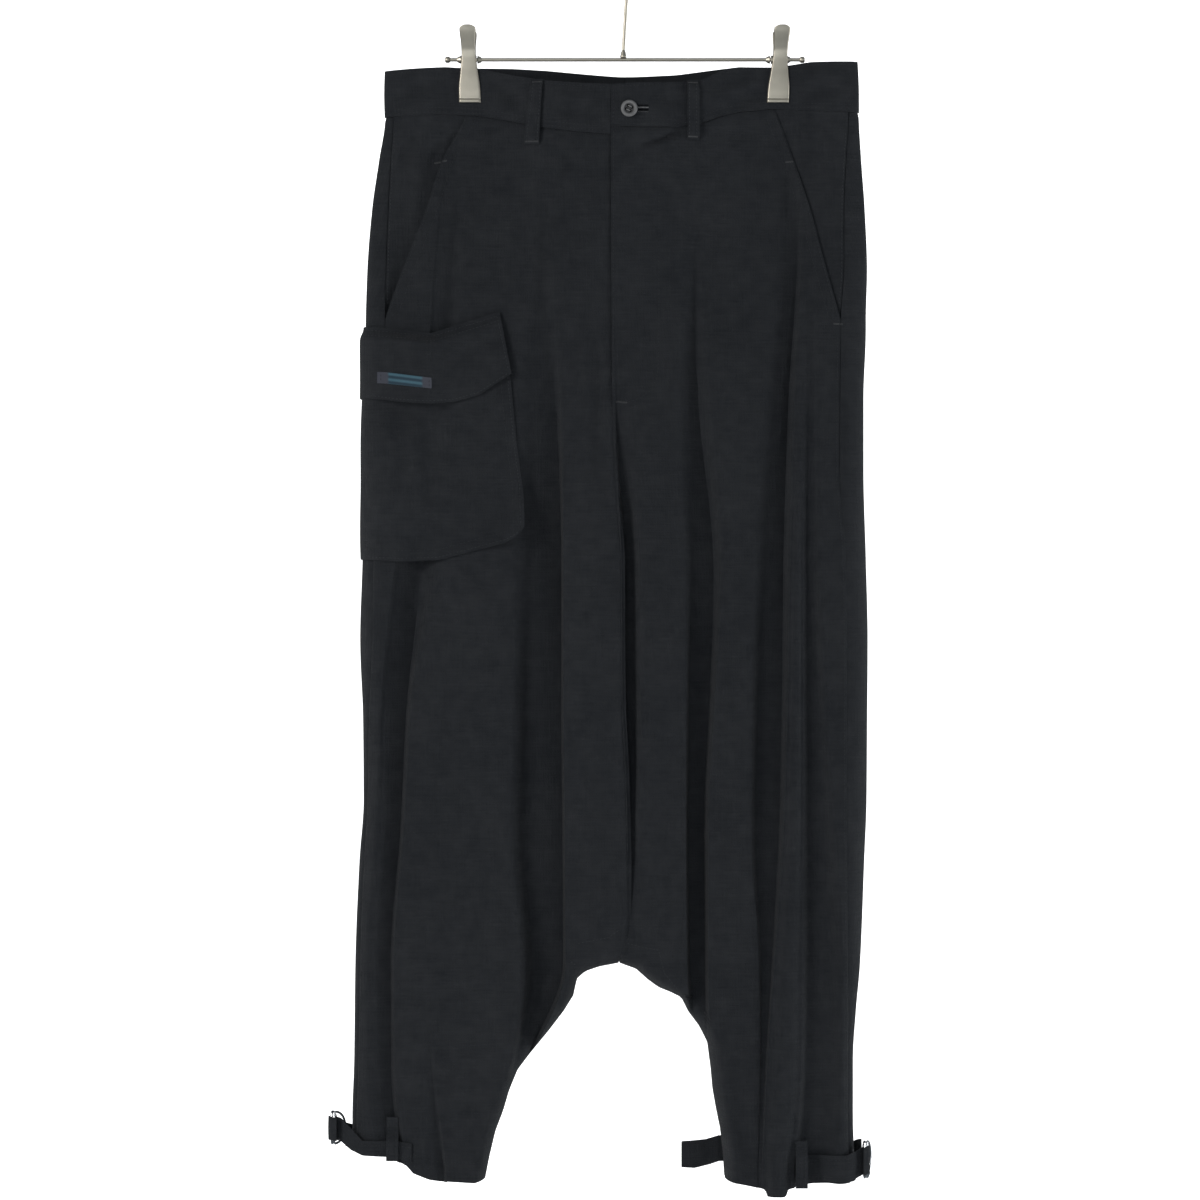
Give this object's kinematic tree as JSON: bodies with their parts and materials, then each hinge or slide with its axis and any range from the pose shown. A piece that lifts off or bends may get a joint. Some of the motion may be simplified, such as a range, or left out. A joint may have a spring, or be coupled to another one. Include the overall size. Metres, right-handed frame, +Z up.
{
  "type": "drop-crotch trousers on a metal clip hanger",
  "caption": "Dark drop-crotch harem trousers with a cargo pocket and ringed hem straps, hung flat by the waistband from a metal clip hanger.",
  "frame": {"origin": "the underside of the hook's crown, where the hanger rests on a rail", "axes": "+Z up, +Y towards the back of the trousers, +X towards the wearer's left"},
  "size_m": [0.4556, 0.0674, 1.0683],
  "materials": {
    "charcoal_twill": "matt woven twill",
    "navy_tape": "plain woven tape",
    "grey_button": "semi-matt",
    "bright_steel": "polished",
    "satin_nickel": "satin"
  },
  "bodies": {
    "root": {"front_right": "charcoal_twill", "front_left": "charcoal_twill", "back_right": "charcoal_twill", "back_left": "charcoal_twill", "pocket_facing_right": "charcoal_twill", "pocket_facing_left": "charcoal_twill", "fly_underlap": "charcoal_twill", "waistband_right": "charcoal_twill", "waistband_left": "charcoal_twill", "belt_loop_front_right": "charcoal_twill", "belt_loop_front_left": "charcoal_twill", "belt_loop_back_right": "charcoal_twill", "belt_loop_back_middle": "charcoal_twill", "belt_loop_back_left": "charcoal_twill", "cargo_pocket": "charcoal_twill", "cargo_flap": "charcoal_twill", "ring_tab_right": "charcoal_twill", "ring_tab_left": "charcoal_twill", "hem_strap_right": "charcoal_twill", "hem_strap_left": "charcoal_twill", "hem_loop_front_right": "charcoal_twill", "hem_loop_back_right": "charcoal_twill", "hem_loop_front_left": "charcoal_twill", "hem_loop_back_left": "charcoal_twill", "flap_label": "navy_tape", "waist_button": "grey_button", "d_ring_right_1": "bright_steel", "d_ring_right_2": "bright_steel", "d_ring_left_1": "bright_steel", "d_ring_left_2": "bright_steel", "hanger_rod": "satin_nickel", "hook_foot": "satin_nickel", "hanger_hook": "satin_nickel", "clip_barrel_right": "satin_nickel", "clip_barrel_left": "satin_nickel", "clip_right_front": "satin_nickel", "clip_right_back": "satin_nickel", "clip_left_front": "satin_nickel", "clip_left_back": "satin_nickel"}
  },
  "joints": []
}
